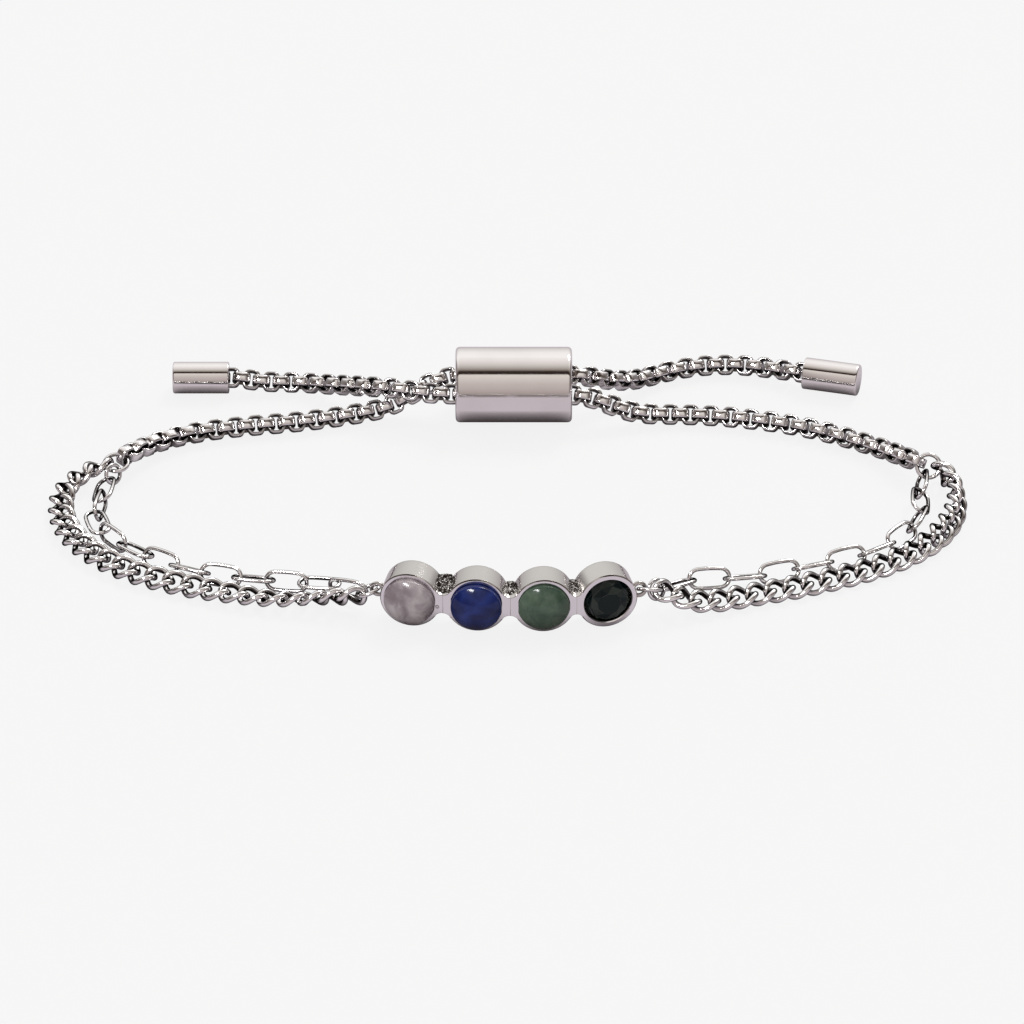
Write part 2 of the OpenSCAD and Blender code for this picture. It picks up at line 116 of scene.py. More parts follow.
def sums(tree, operation, a, b=None, clamp=False):
    links = {0: a}
    if b is not None:
        links[1] = b
    return put(tree, "Math", links, operation=operation, use_clamp=clamp).outputs[0]


def between(tree, value, low, high, toLow=0.0, toHigh=1.0):
    return put(tree, "MapRange", {0: value, 1: low, 2: high, 3: toLow, 4: toHigh}).outputs[0]


def eased(tree, value, low, high, toLow=0.0, toHigh=1.0):
    return put(tree, "MapRange", {0: value, 1: low, 2: high, 3: toLow, 4: toHigh},
               interpolation_type="SMOOTHSTEP").outputs[0]


def mixed(tree, factor, a, b):
    node = put(tree, "Mix", data_type="RGBA")
    for index, value in ((0, factor), (6, a), (7, b)):
        feed(tree, node.inputs[index], value)
    return node.outputs[2]


def place(tree, group, **values):
    node = tree.nodes.new("ShaderNodeGroup")
    node.node_tree = group
    for key, value in values.items():
        feed(tree, node.inputs[key], value)
    return node


def newMaterial(name):
    material = bpy.data.materials.new(name)
    material.use_nodes = True
    tree = material.node_tree
    return material, tree, tree.nodes["Principled BSDF"]


# shared finishes


def makePolishMarks():
    # hand polish on soft metal: uneven gloss, hairlines and a breath of tarnish
    tree, a, out = newGroup(
        "polishMarks",
        [("Fineness", "Float", 2500.0), ("Gloss Low", "Float", 0.05), ("Gloss High", "Float", 0.16),
         ("Hairlines", "Float", 0.5), ("Tarnish", "Float", 0.2),
         ("Bright", "Color", (0.8, 0.78, 0.78, 1)), ("Dull", "Color", (0.5, 0.45, 0.42, 1))],
        [("Color", "Color"), ("Roughness", "Float"), ("Height", "Float")],
    )
    spot = put(tree, "TexCoord").outputs["Object"]
    cloud = put(tree, "TexNoise", {"Vector": spot, "Scale": a.outputs["Fineness"], "Detail": 4.0,
                                   "Roughness": 0.6}).outputs[0]
    wheelWay, wheelStretch = (0.3, 0.5, 0.9), (1.0, 26.0, 14.0)
    stretch = put(tree, "Mapping", {"Vector": spot, "Rotation": wheelWay,
                                    "Scale": wheelStretch}).outputs[0]
    hair = put(tree, "TexNoise", {"Vector": stretch, "Scale": a.outputs["Fineness"],
                                  "Detail": 2.0}).outputs[0]
    lines = between(tree, hair, 0.6, 0.72)
    rough = between(tree, cloud, 0.32, 0.7, a.outputs["Gloss Low"], a.outputs["Gloss High"])
    broad = sums(tree, "MULTIPLY", a.outputs["Fineness"], 0.16)
    low = put(tree, "TexNoise", {"Vector": spot, "Scale": broad, "Detail": 3.0}).outputs[0]
    veil = sums(tree, "MULTIPLY", between(tree, low, 0.45, 0.75), a.outputs["Tarnish"])
    tree.links.new(mixed(tree, veil, a.outputs["Bright"], a.outputs["Dull"]), out.inputs["Color"])
    duller = sums(tree, "MULTIPLY", veil, 0.25)
    tree.links.new(sums(tree, "ADD", rough, duller), out.inputs["Roughness"])
    cut = sums(tree, "MULTIPLY", lines, a.outputs["Hairlines"])
    swell = sums(tree, "MULTIPLY", cloud, 0.35)
    tree.links.new(sums(tree, "SUBTRACT", swell, cut), out.inputs["Height"])
    return tree


def makeCastGrain():
    # sandy skin left by casting and solder where no polishing wheel reaches
    tree, a, out = newGroup(
        "castGrain",
        [("Size", "Float", 9000.0), ("Mask", "Float", 0.0)],
        [("Height", "Float"), ("Shade", "Float")],
    )
    spot = put(tree, "TexCoord").outputs["Object"]
    warp = put(tree, "TexNoise", {"Vector": spot, "Scale": a.outputs["Size"], "Detail": 5.0,
                                  "Roughness": 0.7}).outputs[0]
    cells = put(tree, "TexVoronoi", {"Vector": spot,
                                     "Scale": a.outputs["Size"]}).outputs["Distance"]
    lumps = sums(tree, "SUBTRACT", sums(tree, "MULTIPLY", warp, 0.8),
                 sums(tree, "MULTIPLY", cells, 0.9))
    tree.links.new(sums(tree, "MULTIPLY", lumps, a.outputs["Mask"]), out.inputs["Height"])
    # painted shade in the pits between the grains
    dark = sums(tree, "MULTIPLY", between(tree, cells, 0.3, 0.55), a.outputs["Mask"])
    tree.links.new(dark, out.inputs["Shade"])
    return tree


def makeStoneClouds():
    # mineral body colour: soft clouds of two tones, a few specks of a third
    tree, a, out = newGroup(
        "stoneClouds",
        [("Size", "Float", 700.0), ("Deep", "Color", (0, 0, 0, 1)),
         ("Cloud", "Color", (1, 1, 1, 1)), ("Speck", "Color", (1, 1, 1, 1)),
         ("Speck Size", "Float", 2500.0), ("Speck Share", "Float", 0.1),
         ("Contrast", "Float", 0.2), ("Grain", "Float", 0.2)],
        [("Color", "Color"), ("Veil", "Float")],
    )
    spot = put(tree, "TexCoord").outputs["Object"]
    cloud = put(tree, "TexNoise", {"Vector": spot, "Scale": a.outputs["Size"], "Detail": 3.0,
                                   "Roughness": 0.5, "Distortion": 0.4}).outputs[0]
    low = sums(tree, "SUBTRACT", 0.5, a.outputs["Contrast"])
    high = sums(tree, "ADD", 0.5, a.outputs["Contrast"])
    soft = eased(tree, cloud, low, high)
    fineSize = sums(tree, "MULTIPLY", a.outputs["Size"], 9.0)
    fine = put(tree, "TexNoise", {"Vector": spot, "Scale": fineSize, "Detail": 4.0,
                                  "Roughness": 0.7}).outputs[0]
    grain = sums(tree, "MULTIPLY", sums(tree, "SUBTRACT", fine, 0.5), a.outputs["Grain"])
    blendShare = sums(tree, "ADD", soft, grain, clamp=True)
    body = mixed(tree, blendShare, a.outputs["Deep"], a.outputs["Cloud"])
    specks = put(tree, "TexNoise", {"Vector": spot, "Scale": a.outputs["Speck Size"],
                                    "Detail": 2.0}).outputs[0]
    edge = sums(tree, "SUBTRACT", 0.78, a.outputs["Speck Share"])
    mask = between(tree, specks, edge, sums(tree, "ADD", edge, 0.05))
    tree.links.new(mixed(tree, mask, body, a.outputs["Speck"]), out.inputs["Color"])
    tree.links.new(blendShare, out.inputs["Veil"])
    return tree


polishMarks = makePolishMarks()
castGrain = makeCastGrain()
stoneClouds = makeStoneClouds()

silver = {
    "bright": (0.9, 0.87, 0.865, 1),
    "warm": (0.6, 0.58, 0.565, 1),
    "white": (0.95, 0.935, 0.94, 1),
    "dull": (0.46, 0.41, 0.40, 1),
    # face: painted lighter reflection tone for flat front faces and bevels; deep: painted shade in
    # pits, insides and outlines
    "face": (0.92, 0.895, 0.915, 1),
    "deep": (0.02, 0.013, 0.011, 1),
}


def makeSilver(m):
    material, tree, shader = newMaterial(m["name"])
    marks = place(tree, polishMarks, **{"Fineness": m["fineness"], "Gloss Low": m["gloss"][0],
                                        "Gloss High": m["gloss"][1], "Hairlines": m["hairlines"],
                                        "Tarnish": m["tarnish"], "Bright": silver[m["tone"]],
                                        "Dull": silver["dull"]})
    shader.inputs["Metallic"].default_value = 1.0
    color, rough, height = (marks.outputs[label] for label in ("Color", "Roughness", "Height"))
    if "castGrain" in m:
        # the cast skin is rough, with painted shade in its pits; flat front faces and bevels get a
        # painted lighter reflection tone
        mask = put(tree, "Attribute", attribute_name="castShare").outputs["Fac"]
        cast = place(tree, castGrain, Size=m["castSize"], Mask=mask)
        lumps = sums(tree, "MULTIPLY", cast.outputs["Height"], m["castGrain"])
        height = sums(tree, "ADD", height, lumps)
        pitShade = sums(tree, "MULTIPLY", cast.outputs["Shade"], 0.95, clamp=True)
        color = mixed(tree, pitShade, color, silver["deep"])
        rough = sums(tree, "ADD", rough, sums(tree, "MULTIPLY", mask, 0.16))
        paintedFaceLight = put(tree, "Attribute", attribute_name="faceShare").outputs["Fac"]
        color = mixed(tree, paintedFaceLight, color, silver["face"])
    # painted shade inside links and rings, mixed toward the deep tone
    if "recess" in m:
        paintedShadeMask = put(tree, "Attribute", attribute_name="recess").outputs["Fac"]
        shade = sums(tree, "MULTIPLY", paintedShadeMask, m["recess"])
        color = mixed(tree, shade, color, silver["deep"])
        rough = sums(tree, "ADD", rough, sums(tree, "MULTIPLY", shade, 0.1))
    if "rim" in m:
        # painted dark reflection: thin wire darkened along its outline by the angle it is seen at,
        # as if mirroring the dark of the room
        facing = put(tree, "LayerWeight", {"Blend": 0.5}).outputs["Facing"]
        paintedOutline = eased(tree, facing, 0.38, 0.7, 0.0, m["rim"])
        color = mixed(tree, paintedOutline, color, silver["deep"])
        tint = mixed(tree, paintedOutline, (1, 1, 1, 1), silver["deep"])
        tree.links.new(tint, shader.inputs["Specular Tint"])
    bump = put(tree, "Bump", {"Height": height, "Strength": 1.0, "Distance": m["depth"]})
    tree.links.new(color, shader.inputs["Base Color"])
    tree.links.new(rough, shader.inputs["Roughness"])
    tree.links.new(bump.outputs[0], shader.inputs["Normal"])
    return material


def makeStone(name, s):
    material, tree, shader = newMaterial(name)
    clouds = place(tree, stoneClouds, **{"Size": s["size"], "Deep": s["deep"], "Cloud": s["cloud"],
                                         "Speck": s["speck"], "Speck Size": s["speckSize"],
                                         "Speck Share": s["speckShare"], "Contrast": s["contrast"],
                                         "Grain": s["grain"]})
    color = clouds.outputs["Color"]
    if "facets" in s:
        # painted light on the cut stone's facets
        tone = put(tree, "Attribute", attribute_name="facetTone").outputs["Fac"]
        color = mixed(tree, tone, s["facets"][0], mixed(tree, 0.5, color, s["facets"][1]))
    tree.links.new(color, shader.inputs["Base Color"])
    rough = between(tree, clouds.outputs["Veil"], 0.0, 1.0, *s["gloss"])
    tree.links.new(rough, shader.inputs["Roughness"])
    shader.inputs["IOR"].default_value = 1.55
    shader.inputs["Specular IOR Level"].default_value = s.get("specular", 0.22)
    shader.inputs["Coat Weight"].default_value = s.get("specular", 0.22)
    shader.inputs["Coat Roughness"].default_value = 0.06
    if "glow" in s:
        shader.inputs["Subsurface Weight"].default_value = s["glow"]
        shader.inputs["Subsurface Radius"].default_value = (0.6, 0.55, 0.6)
        shader.inputs["Subsurface Scale"].default_value = 0.0008
    return material


# the painted shade darkens the inside of a link, a painted dark reflection its outline; depth is
# that of the polish marks
finishes = {
    "slider": {"name": "silverBarrel", "tone": "bright", "fineness": 1400.0, "gloss": (0.045, 0.1),
               "hairlines": 0.25, "tarnish": 0.12, "depth": 1.2e-6},
    "setting": {"name": "silverSetting", "tone": "warm", "fineness": 2200.0, "gloss": (0.06, 0.12),
                "hairlines": 0.3, "tarnish": 0.2, "depth": 2e-6, "castGrain": 60.0,
                "castSize": 4800.0},
    "chain": {"name": "silverChain", "tone": "white", "fineness": 3800.0, "gloss": (0.03, 0.09),
              "hairlines": 0.5, "tarnish": 0.12, "depth": 2e-6, "recess": 0.98, "rim": 0.97},
    "box": {"name": "silverBoxChain", "tone": "white", "fineness": 3800.0, "gloss": (0.035, 0.1),
            "hairlines": 0.4, "tarnish": 0.1, "depth": 2e-6, "recess": 0.92, "rim": 0.45},
    "ring": {"name": "silverRing", "tone": "white", "fineness": 3800.0, "gloss": (0.03, 0.09),
             "hairlines": 0.5, "tarnish": 0.12, "depth": 2e-6, "recess": 0.6, "rim": 0.8},
}
metals = {use: makeSilver(m) for use, m in finishes.items()}
print("metal finishes ready")


# meshes from plain lists


def addPiece(name, verts, faces, material, smooth=True, nodes=()):
    mesh = bpy.data.meshes.new(name)
    mesh.from_pydata([tuple(v) for v in np.asarray(verts) * mm], [], faces)
    bm = bmesh.new()
    bm.from_mesh(mesh)
    bmesh.ops.recalc_face_normals(bm, faces=bm.faces)
    bm.to_mesh(mesh)
    bm.free()
    mesh.polygons.foreach_set("use_smooth", [smooth] * len(mesh.polygons))
    mesh.materials.append(material)
    mesh.update()
    piece = bpy.data.objects.new(name, mesh)
    bpy.context.collection.objects.link(piece)
    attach(piece, "root")
    if nodes:
        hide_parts(*nodes)
    return piece


def addShare(piece, name, values, domain="POINT"):
    layer = piece.data.attributes.new(name, "FLOAT", domain)
    layer.data.foreach_set("value", np.asarray(values, np.float32))


def tube(path, normals, radius, sides):
    # round wire along a closed path; normals lie across the path
    n = len(path)
    tangent = np.roll(path, -1, 0) - np.roll(path, 1, 0)
    tangent /= np.linalg.norm(tangent, axis=1)[:, None]
    side = normals - (normals * tangent).sum(1)[:, None] * tangent
    side /= np.linalg.norm(side, axis=1)[:, None]
    up = np.cross(tangent, side)
    a = np.linspace(0, 2 * math.pi, sides, endpoint=False)
    rings = (path[:, None, :] + radius * (np.cos(a)[None, :, None] * side[:, None, :]
                                          + np.sin(a)[None, :, None] * up[:, None, :]))
    verts = rings.reshape(-1, 3)
    faces = []
    for i in range(n):
        k = (i + 1) % n
        for j in range(sides):
            m = (j + 1) % sides
            faces.append((i * sides + j, i * sides + m, k * sides + m, k * sides + j))
    return verts, faces


def paintedShadeOf(path, verts, radius):
    # painted shade: how far each point of a wire faces the inside of its own loop, where the wires
    # shade each other
    n = len(path)
    out = path / np.linalg.norm(path, axis=1)[:, None]
    away = (verts.reshape(n, -1, 3) - path[:, None]) / radius
    inner = -(away * out[:, None]).sum(2)
    return np.clip((inner - 0.35) / 0.5, 0, 1).reshape(-1)


def wireLoop(path, normals, radius, sides):
    verts, faces = tube(path, normals, radius, sides)
    return verts, faces, paintedShadeOf(path, verts, radius)


def torus(radius, wire, around=72, sides=18):
    a = np.linspace(0, 2 * math.pi, around, endpoint=False)
    path = np.stack([radius * np.cos(a), radius * np.sin(a), 0 * a], 1)
    return wireLoop(path, path, wire / 2, sides)


def lathe(profile, segments):
    # profile of (radius, height) pairs turned about Z; ends on the axis close it
    verts, faces, rows = [], [], []
    for r, z in profile:
        if r < 1e-6:
            rows.append([len(verts)])
            verts.append((0, 0, z))
        else:
            rows.append(list(range(len(verts), len(verts) + segments)))
            for k in range(segments):
                t = 2 * math.pi * k / segments
                verts.append((r * math.cos(t), r * math.sin(t), z))
    for a, b in zip(rows, rows[1:]):
        for k in range(segments):
            m = (k + 1) % segments
            if len(a) == 1 and len(b) == 1:
                continue
            if len(a) == 1:
                faces.append((a[0], b[k], b[m]))
            elif len(b) == 1:
                faces.append((a[k], b[0], a[m]))
            else:
                faces.append((a[k], b[k], b[m], a[m]))
    return np.array(verts, float), faces


def rounded(points, radii, steps=5):
    # a profile with its corners rounded
    out = []
    for i, (p, r) in enumerate(zip(points, radii)):
        p = np.array(p, float)
        if r == 0 or i in (0, len(points) - 1):
            out.append(tuple(p))
            continue
        a = np.array(points[i - 1], float) - p
        b = np.array(points[i + 1], float) - p
        a /= np.linalg.norm(a)
        b /= np.linalg.norm(b)
        half = math.acos(max(-1, min(1, a @ b))) / 2
        reach = r / math.tan(half)
        for s in range(steps + 1):
            t = s / steps
            q = p + a * reach * (1 - t) ** 2 + b * reach * t ** 2
            out.append(tuple(q))
    return out


def turned(verts, matrix, shift):
    return np.asarray(verts) @ np.asarray(matrix, float).T + np.asarray(shift, float)


def merge(parts):
    verts, faces, base = [], [], 0
    for v, f in parts:
        verts.append(np.asarray(v))
        faces.extend(tuple(i + base for i in face) for face in f)
        base += len(v)
    return np.concatenate(verts), faces


# where each link of a chain lies, read from the loose solids of its node


def solidsOf(node):
    bm = bmesh.new()
    bm.from_mesh(frame["nodes"][node].data)
    bmesh.ops.remove_doubles(bm, verts=bm.verts, dist=2e-7)
    bmesh.ops.triangulate(bm, faces=bm.faces)
    bm.verts.ensure_lookup_table()
    seen, groups = set(), []
    for start in bm.verts:
        if start.index in seen:
            continue
        stack, faces = [start], set()
        seen.add(start.index)
        while stack:
            v = stack.pop()
            for f in v.link_faces:
                if f.index in faces:
                    continue
                faces.add(f.index)
                for w in f.verts:
                    if w.index not in seen:
                        seen.add(w.index)
                        stack.append(w)
        groups.append(sorted(faces))
    bm.faces.ensure_lookup_table()
    result = []
    for group in groups:
        if group:
            result.append(np.array([[tuple(v.co) for v in bm.faces[i].verts] for i in group]) / mm)
    bm.free()
    return result


def spread(tri):
    # centre and spread of a surface, the same for any way it is cut into triangles
    area = np.linalg.norm(np.cross(tri[:, 1] - tri[:, 0], tri[:, 2] - tri[:, 0]), axis=1) / 2
    mid = tri.mean(1)
    centre = (mid * area[:, None]).sum(0) / area.sum()
    t = tri - centre
    m = t.mean(1)
    corners, middles = np.einsum("n,nki,nkj->ij", area, t, t), np.einsum("n,ni,nj->ij", area, m, m)
    return centre, (corners + 9 * middles) / 12 / area.sum()


def axesOf(tri, order):
    centre, moment = spread(tri)
    _, vectors = np.linalg.eigh(moment)
    x, y = vectors[:, order[0]], vectors[:, order[1]]
    return centre, np.stack([x, y, np.cross(x, y)], 1)


def trianglesOf(verts, faces):
    out = []
    for f in faces:
        for k in range(1, len(f) - 1):
            out.append((verts[f[0]], verts[f[k]], verts[f[k + 1]]))
    return np.array(out)


def rankOf(verts, faces):
    _, moment = spread(trianglesOf(verts, faces))
    ranks = list(np.argsort(np.diag(moment)))
    return [ranks.index(0), ranks.index(1)]


# curb chain

curbLink = {"wire": 0.48, "length": 2.8, "width": 2.32, "twist": 52.0, "sections": 56, "sides": 14}


def makeCurbLink(c):
    a = (c["length"] - c["wire"]) / 2
    b = (c["width"] - c["wire"]) / 2
    q = np.linspace(0, 2 * math.pi, c["sections"], endpoint=False)
    f = -math.radians(c["twist"]) * np.cos(q)
    path = np.stack([a * np.cos(q), b * np.sin(q) * np.cos(f), b * np.sin(q) * np.sin(f)], 1)
    across = np.stack([0 * q, -np.sin(f), np.cos(f)], 1)
    tangent = np.roll(path, -1, 0) - np.roll(path, 1, 0)
    return wireLoop(path, np.cross(tangent, across), c["wire"] / 2, c["sides"])


# long links

longLink = {"wire": 0.33, "length": 3.75, "width": 1.9, "bend": 14, "straight": 5, "sides": 14,
            "bow": 0.04}


def makeLongLink(c):
    r = (c["width"] - c["wire"]) / 2
    h = (c["length"] - c["width"]) / 2
    path = []
    for side in (1, -1):
        for k in range(c["bend"]):
            t = -math.pi / 2 + math.pi * k / c["bend"]
            path.append((side * (h + r * math.cos(t)), side * r * math.sin(t), 0))
        for k in range(c["straight"]):
            x = h * (1 - 2 * k / c["straight"])
            bow = c["bow"] * (1 - (x / h) ** 2)
            path.append((side * x, side * (r + bow), 0))
    path = np.array(path)
    return wireLoop(path, np.tile([0, 0, 1.0], (len(path), 1)), c["wire"] / 2, c["sides"])


# box links: a strip bent to a flat ring, its outside rounded

boxLink = {"length": 1.56, "width": 1.8, "strip": 0.24, "band": 0.78, "round": 2.5, "around": 40,
           "softEdge": 0.04}


def makeBoxLink(c):
    half, flank, band = c["length"] / 2, c["width"] / 2, c["band"] / 2
    soft, power = c["softEdge"], c["round"]
    rows = []
    for k in range(c["around"]):
        t = 2 * math.pi * (k + 0.5) / c["around"]
        d = np.array([math.cos(t), math.sin(t)])
        # outside and inside of the strip along this direction, both rounded off
        outer = (abs(d[0] / half) ** power + abs(d[1] / flank) ** power) ** (-1 / power)
        inner = (abs(d[0] / (half - c["strip"])) ** power
                 + abs(d[1] / (flank - c["strip"])) ** power) ** (-1 / power)
        row = []
        for z in (-1, -0.86, -0.5, 0, 0.5, 0.86, 1):
            zz = z * band
            reach = outer
            if abs(d[1]) > 1e-6:
                reach = min(outer, math.sqrt(flank ** 2 - zz * zz) / abs(d[1]))
            if abs(z) == 1:
                reach -= soft
            row.append((d[0] * reach, d[1] * reach, zz))
        ends = [(d[0] * (inner + soft), d[1] * (inner + soft), band),
                (d[0] * inner, d[1] * inner, band - soft),
                (d[0] * inner, d[1] * inner, soft - band),
                (d[0] * (inner + soft), d[1] * (inner + soft), -band)]
        rows.append(row + ends)
    size = len(rows[0])
    verts = [p for row in rows for p in row]
    faces = []
    n = len(rows)
    for i in range(n):
        k = (i + 1) % n
        for j in range(size):
            m = (j + 1) % size
            faces.append((i * size + j, k * size + j, k * size + m, i * size + m))
    # painted shade on the inner wall of the strip
    paintedShadeMask = np.tile([0.35, 0, 0, 0, 0, 0, 0.35, 0.8, 1, 1, 0.8], n)
    return np.array(verts, float), faces, paintedShadeMask


def makeChain(name, node, link, material, ring=None):
    verts, faces, paintedShadeMask = link
    order = rankOf(verts, faces)
    parts, recess = [], []
    for tri in solidsOf(node):
        centre, turn = axesOf(tri, order)
        if ring is not None:
            values = np.linalg.eigvalsh(spread(tri)[1])
            if values[2] < 1.15 * values[1]:  # as wide as it is long: the small round ring
                c, t = axesOf(tri, [2, 1])
                parts.append((turned(ring[0], t, c), ring[1]))
                recess.append(ring[2])
                continue
        parts.append((turned(verts, turn, centre), faces))
        recess.append(paintedShadeMask)
    v, f = merge(parts)
    piece = addPiece(name, v, f, material, nodes=(node,))
    addShare(piece, "recess", np.concatenate(recess))
    print(name, "links:", len(parts), "faces:", len(f))


curb = makeCurbLink(curbLink)
longOne = makeLongLink(longLink)
boxOne = makeBoxLink(boxLink)
roundLink = {"outside": 1.9, "wire": 0.33, "around": 56, "sides": 16}
smallRing = torus((roundLink["outside"] - roundLink["wire"]) / 2, roundLink["wire"],
                  roundLink["around"], roundLink["sides"])
for way in ("left", "right"):
    makeChain("curbChain_" + way, "curb_chain_" + way, curb, metals["chain"])
    makeChain("longChain_" + way, "paperclip_chain_" + way, longOne, metals["chain"], smallRing)
    makeChain("boxChain_" + way, "box_chain_" + way, boxOne, metals["box"])

# jump rings, each with the fine saw cut where it was closed
jumpRing = {"outside": 2.3, "wire": 0.33, "cut": 0.03, "around": 80, "sides": 18, "cutEnd": 0.9}


def makeJumpRing(name, node, cutAt):
    c = jumpRing
    radius = (c["outside"] - c["wire"]) / 2
    n, sides = c["around"], c["sides"]
    gap = c["cut"] / radius
    a = np.linspace(gap / 2, 2 * math.pi - gap / 2, n) + math.radians(cutAt)
    path = np.stack([radius * np.cos(a), radius * np.sin(a), 0 * a], 1)
    w = np.linspace(0, 2 * math.pi, sides, endpoint=False)
    verts, faces, paintedShadeMask = [], [], []
    for i, p in enumerate(path):
        out = p / radius
        atCut = i in (0, n - 1)
        scale = c["cutEnd"] if atCut else 1.0
        for t in w:
            spoke = math.cos(t) * out + np.array([0, 0, math.sin(t)])
            verts.append(p + c["wire"] / 2 * scale * spoke)
            # painted shade on the inner side of the wire and in the saw cut
            paintedShadeMask.append(1.0 if atCut else min(1, max(0, -math.cos(t) - 0.2) / 0.6))
    for i in range(n - 1):
        for j in range(sides):
            m = (j + 1) % sides
            faces.append((i * sides + j, (i + 1) * sides + j, (i + 1) * sides + m, i * sides + m))
    faces.append(tuple(range(sides)))
    faces.append(tuple((n - 1) * sides + j for j in reversed(range(sides))))
    centre, turn = axesOf(solidsOf(node)[0], [2, 1])
    piece = addPiece(name, turned(verts, turn, centre), faces, metals["ring"], nodes=(node,))
    addShare(piece, "recess", paintedShadeMask)


for name, node, cutAt in (
    ("barRing_left", "bar_ring_left", 70),
    ("barRing_right", "bar_ring_right", 200),
    ("sideRing_left", "side_ring_left", 20),
    ("sideRing_right", "side_ring_right", 110),
):
    makeJumpRing(name, node, cutAt)
print("rings done")

# stone bar

bar = {
    "middle": (0.15, -20.67),
    "spacing": 5.5,
    # turn, way from the cup before, share of the spacing, radius of the opening
    "cups": [(-12, 0, 0, 2.09), (-4, -8.2, 1, 2.09), (2.5, -1, 1, 2.09), (14, 8.2, 0.96, 2.0)],
    "radius": 2.475,
    "depth": 2.35,
    "floor": 0.6,
    "frontEdge": 0.085,
    "backEdge": 0.22,
    "lip": 0.065,
    "webHeight": 1.75,
    "webHollow": 1.03,
    "webOverlap": 0.06,
    "webEdge": 0.05,
    "webProud": 0.003,
    "webSections": 28,
}
endLoop = {"outside": 1.39, "wire": 0.35, "sink": 0.08, "around": 56, "sides": 16}
loopRadius = (endLoop["outside"] - endLoop["wire"]) / 2
# cup, side of the bar, bank
endLoops = ((0, -1, 0), (3, 1, -15))


def cupCentres():
    runs = [np.zeros(2)]
    for _, way, share, _ in bar["cups"][1:]:
        w = math.radians(way)
        runs.append(runs[-1] + bar["spacing"] * share * np.array([math.cos(w), math.sin(w)]))
    shift = np.array(bar["middle"]) - (runs[1] + runs[2]) / 2
    return [r + shift for r in runs]


def cupFrame(i):
    # columns: along the bar, up, out of the cup's mouth
    t = math.radians(bar["cups"][i][0])
    along = np.array([math.cos(t), math.sin(t), 0])
    out = np.array([math.sin(t), -math.cos(t), 0])
    centre = cupCentres()[i]
    axes = np.stack([along, np.array([0, 0, 1.0]), out], 1)
    return axes, np.array([centre[0], centre[1], bar["radius"]])


def makeCup(i):
    b = bar
    r, hole = b["radius"], b["cups"][i][3]
    lip = b["lip"]
    edge = b["frontEdge"]
    back = -b["depth"]
    outerWall = [(0, back), (r, back), (r, -edge * 1.15), (r - edge, 0), (hole + lip, 0)]
    profile = rounded(outerWall, (0, b["backEdge"], 0.008, 0.008, 0), 6)
    # bevel cut down to the stone, bright from a painted lighter tone
    for x, y in ((lip, 0), (lip * 0.9, -0.006), (lip * 0.1, -lip * 0.9), (0, -lip)):
        profile.append((hole + x, y))
    inside = b["floor"] - b["depth"]
    profile += [(hole, -0.3), (hole, -1.0), (hole, inside), (0, inside)]
    # rows down the outer wall, for the uneven hand finish
    wall = []
    for p, q in zip(profile, profile[1:]):
        wall.append(p)
        if abs(p[0] - r) < 1e-6 and abs(q[0] - r) < 1e-6:
            wall += [(r, p[1] + (q[1] - p[1]) * k / 8) for k in range(1, 8)]
    wall.append(profile[-1])
    verts, faces = lathe(wall, 120)
    turn, centre = cupFrame(i)
    return turned(verts, turn, centre), faces


def makeWeb(i):
    b = bar
    centres = cupCentres()
    p, q = centres[i], centres[i + 1]
    d = q - p
    half = np.linalg.norm(d) / 2
    h = b["webHeight"]
    # radius of the hollow sides, which run tangent into the cups from touch on
    hollow = b["webHollow"] * (half ** 2 + h * h / 4 - b["radius"] ** 2) / (2 * b["radius"] - h)
    rise = h / 2 + hollow
    across = d / np.linalg.norm(d)
    out = np.array([across[1], -across[0]])
    mid = (p + q) / 2
    touch = half * hollow / (b["radius"] + hollow)
    limit = touch + b["webOverlap"]
    fronts = [(cupFrame(k)[0][:2, 2], c) for k, c in ((i, p), (i + 1, q))]
    n, rows = b["webSections"], []
    edge = b["webEdge"]
    for k in range(n + 1):
        x = -limit + 2 * limit * k / n
        top = rise - math.sqrt(max(0.01, hollow ** 2 - x * x))
        if abs(x) > touch:
            top = math.sqrt(b["radius"] ** 2 - (half - abs(x)) ** 2)
        back = -b["depth"]
        section = [(0.0, top - edge), (-edge * 0.3, top - edge * 0.3), (-edge, top),
                   (edge + back, top), (back, top - edge), (back, edge - top),
                   (edge + back, -top), (-edge, -top), (-edge * 0.3, edge * 0.3 - top),
                   (0.0, edge - top)]
        row = []
        # the face of the web runs on in the planes of both cups
        way, centre = fronts[x > 0]
        front = b["webProud"] - (mid + across * x - centre) @ way / (out @ way)
        for y, z in section:
            flat = mid + across * x + out * (y + front)
            row.append((flat[0], flat[1], b["radius"] + z))
        rows.append(row)
    size = len(rows[0])
    verts = [v for row in rows for v in row]
    faces = []
    for k in range(n):
        for j in range(size):
            m = (j + 1) % size
            faces.append((k * size + j, k * size + m, (k + 1) * size + m, (k + 1) * size + j))
    return np.array(verts), faces


def makeLump(centre, size, seed, level=4, rough=0.2, grain=7.0):
    # solder and cast skin: a lumpy pad
    bm = bmesh.new()
    bmesh.ops.create_icosphere(bm, subdivisions=level, radius=1)
    verts = []
    for v in bm.verts:
        p = v.co.copy()
        spot = Vector((p.x * size[0], p.y * size[1], p.z * size[2]))
        w = noise.noise(spot * grain + Vector((seed, 0, seed)))
        c = noise.noise(spot * grain * 2.3 + Vector((0, seed, 3)))
        s = 1 + rough * (w + 0.5 * abs(c))
        verts.append(tuple(centre[k] + p[k] * size[k] * s for k in range(3)))
    faces = [tuple(x.index for x in f.verts) for f in bm.faces]
    bm.free()
    return np.array(verts), faces


